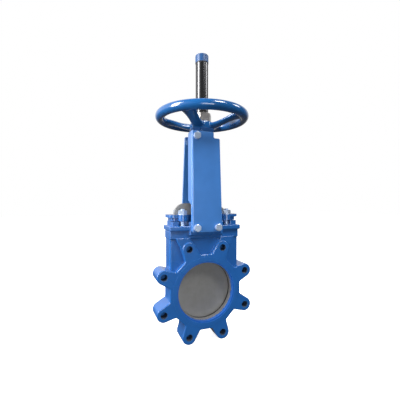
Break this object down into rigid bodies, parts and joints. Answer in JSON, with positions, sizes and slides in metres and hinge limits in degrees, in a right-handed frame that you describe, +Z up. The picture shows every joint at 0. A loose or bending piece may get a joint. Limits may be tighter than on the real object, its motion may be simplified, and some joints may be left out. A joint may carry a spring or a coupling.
{
  "type": "knife gate valve",
  "caption": "Lug-type knife gate valve with a tall open yoke, rising stem, dished spoked handwheel and capped stem protector tube.",
  "frame": {"origin": "centre of the port on the front flange face", "axes": "+X to the right, +Y through the pipe from the front face to the rear face, +Z up along the stem"},
  "size_m": [0.2578, 0.248, 0.7509],
  "materials": {
    "painted_casting": "glossy blue enamel over cast iron",
    "painted_sheet": "glossy blue enamel over folded steel sheet",
    "painted_wheel": "glossy blue enamel over cast iron",
    "stainless": "brushed stainless steel",
    "stem_steel": "turned stainless steel",
    "zinc": "bright zinc plating",
    "tube_steel": "bright drawn steel tube",
    "bronze": "machined bronze",
    "elastomer": "black moulded rubber",
    "packing": "braided square packing, impregnated",
    "ptfe": "off-white low-friction plastic",
    "blue_plastic": "moulded blue plastic",
    "weld": "painted weld bead"
  },
  "bodies": {
    "valve_frame": {"body": "painted_casting", "seat_retainer_ring": "stainless", "seat_ring": "elastomer", "gate_guide_left": "ptfe", "gate_guide_right": "ptfe", "packing_ring_1": "packing", "packing_ring_2": "packing", "packing_ring_3": "packing", "packing_ring_4": "packing", "gland_follower": "painted_casting", "gland_studs": "zinc", "gland_washers": "zinc", "gland_nuts": "zinc", "yoke_plate_front": "painted_sheet", "yoke_plate_rear": "painted_sheet", "yoke_bolts_front": "zinc", "yoke_bolts_rear": "zinc", "yoke_lock_washers_front": "zinc", "yoke_lock_washers_rear": "zinc", "yoke_head": "painted_sheet", "yoke_head_welds": "weld", "grease_nipple": "zinc", "bearing_bush": "bronze", "thrust_washer": "bronze"},
    "wheel_drive": {"stem_nut": "bronze", "retaining_nut": "zinc", "drive_key": "stem_steel", "handwheel": "painted_wheel", "wheel_locknut": "stem_steel", "protector_tube": "tube_steel", "protector_cap": "blue_plastic", "cap_seal": "elastomer"},
    "gate_and_stem": {"stem": "stem_steel", "stem_union": "stem_steel", "union_pin": "stem_steel", "union_bolts": "zinc", "union_nuts": "zinc", "gate": "stainless"}
  },
  "joints": [
    {"name": "handwheel_turn", "type": "hinge", "parent": "valve_frame", "child": "wheel_drive", "pos_m": [0, 0.0345, 0.43], "axis": [0, 0, 1], "range_deg": [0, 11160]},
    {"name": "gate_lift", "type": "slide", "parent": "valve_frame", "child": "gate_and_stem", "axis": [0, 0, 1], "range_m": [0, 0.15501]}
  ],
  "couplings": [
    {"joint": "gate_lift", "follows": "handwheel_turn", "m_per_rad": 0.00079577}
  ]
}
